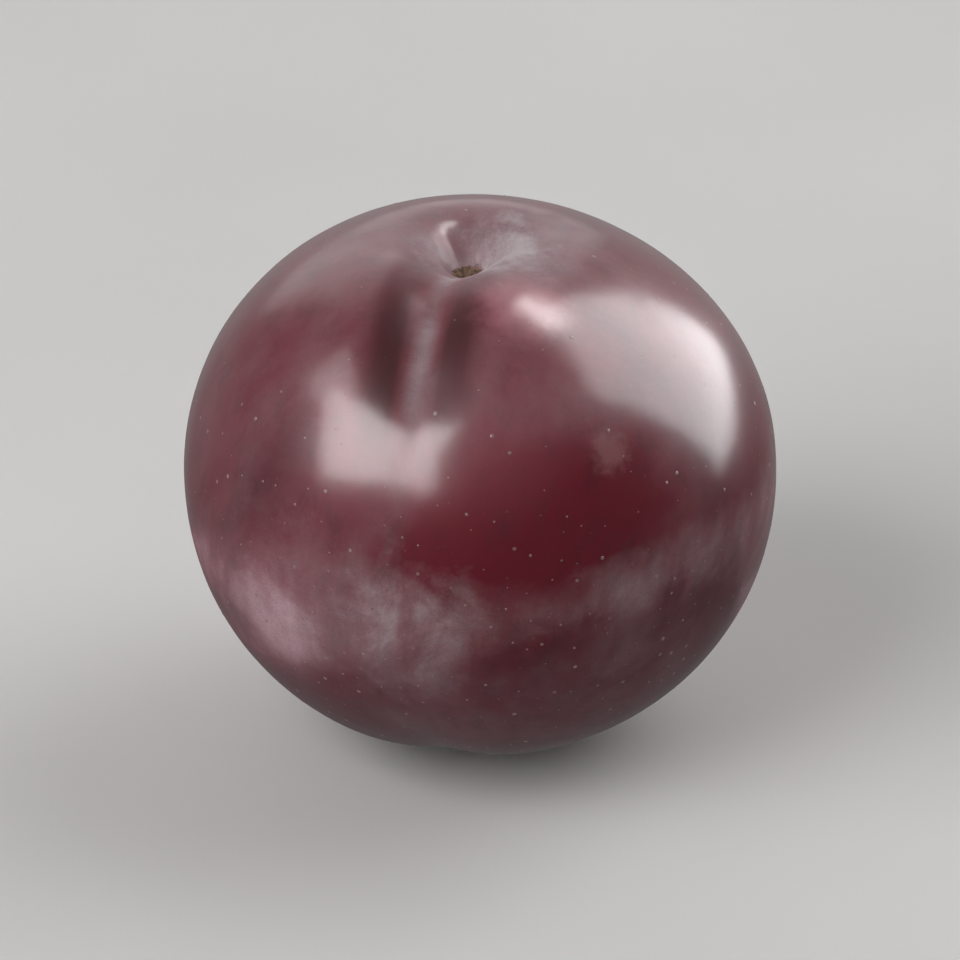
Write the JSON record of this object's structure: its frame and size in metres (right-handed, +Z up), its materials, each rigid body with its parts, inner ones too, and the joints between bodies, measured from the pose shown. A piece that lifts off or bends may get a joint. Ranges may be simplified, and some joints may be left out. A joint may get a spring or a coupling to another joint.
{
  "type": "plum",
  "caption": "Ripe round dark plum, picked and without its stem: a funnel-shaped stem cavity, a shallow suture down one side, and a small flat spot at the foot that it rests on.",
  "frame": {"origin": "on the table, under the middle of the fruit's box", "axes": "+Z up, with the stem cavity on top, +X across the cheeks, and the suture facing -Y, turned a little towards -X"},
  "size_m": [0.058, 0.0572, 0.0529],
  "materials": {
    "plum_skin": "smooth skin, glossy where the pale waxy bloom is rubbed off and satin where it is left"
  },
  "bodies": {
    "root": {"plum": "plum_skin"}
  },
  "joints": []
}
